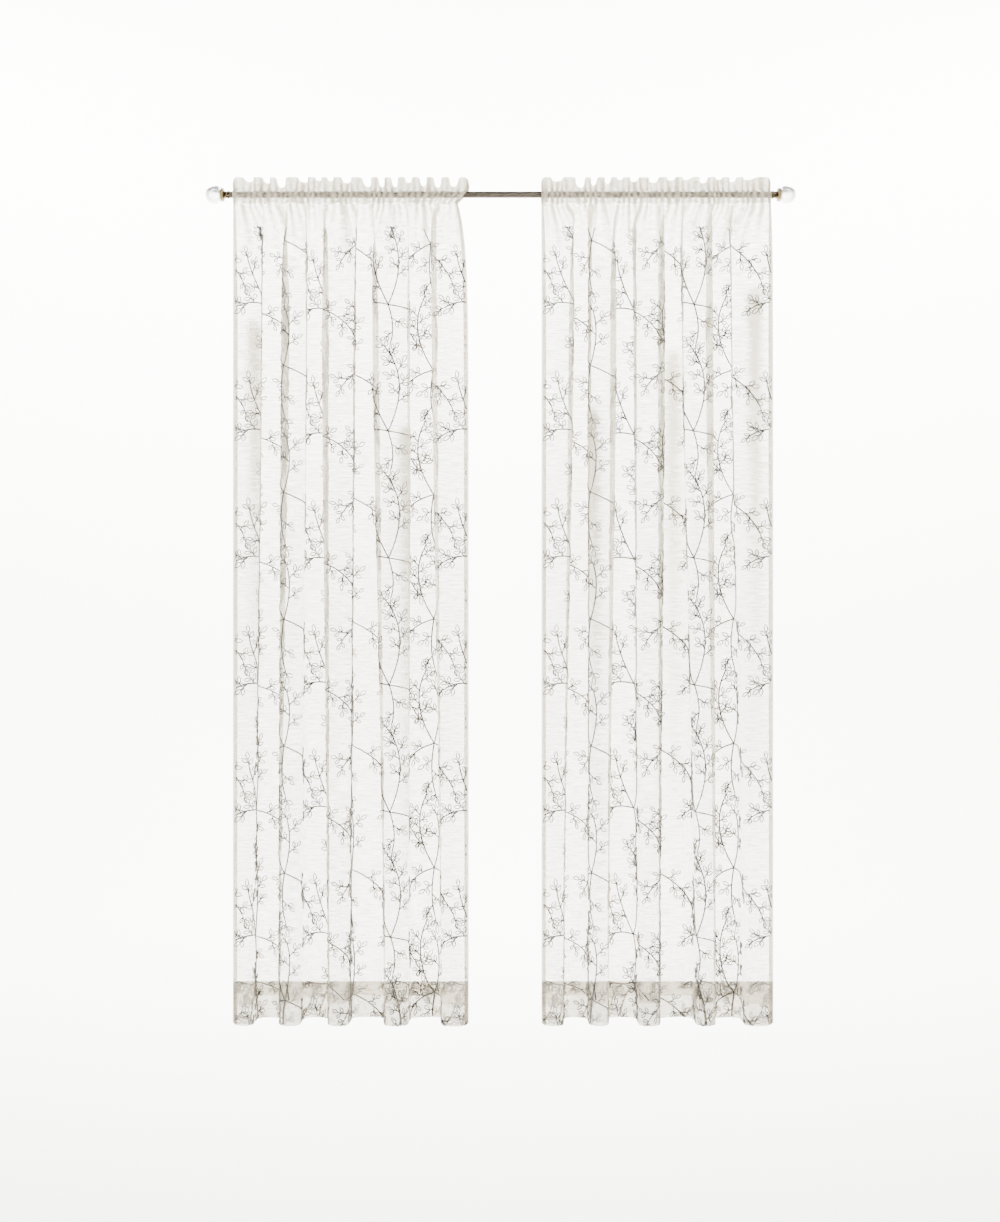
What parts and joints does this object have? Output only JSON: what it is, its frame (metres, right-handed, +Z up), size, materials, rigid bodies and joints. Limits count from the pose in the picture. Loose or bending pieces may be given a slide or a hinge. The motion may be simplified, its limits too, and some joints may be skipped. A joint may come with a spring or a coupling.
{
  "type": "sheer curtain pair on a rod",
  "caption": "Pair of gathered sheer rod-pocket curtain panels on a slim metal rod with glass ball finials.",
  "frame": {"origin": "on the rod's axis, midway between the finials", "axes": "+Z up, +X along the rod towards the right finial, -Y towards the front of the curtain"},
  "size_m": [1.493, 0.0852, 2.1343],
  "materials": {
    "panel_left": "sheer off-white voile, matt",
    "panel_right": "sheer off-white voile, matt",
    "rod": "satin nickel",
    "finial_collar": "dark antique bronze, polished high spots",
    "finial_ball": "clear, polished"
  },
  "bodies": {
    "root": {"rod": "rod", "finial_collar_left": "finial_collar", "finial_collar_right": "finial_collar", "finial_ball_left": "finial_ball", "finial_ball_right": "finial_ball", "panel_left": "panel_left", "panel_right": "panel_right"}
  },
  "joints": []
}
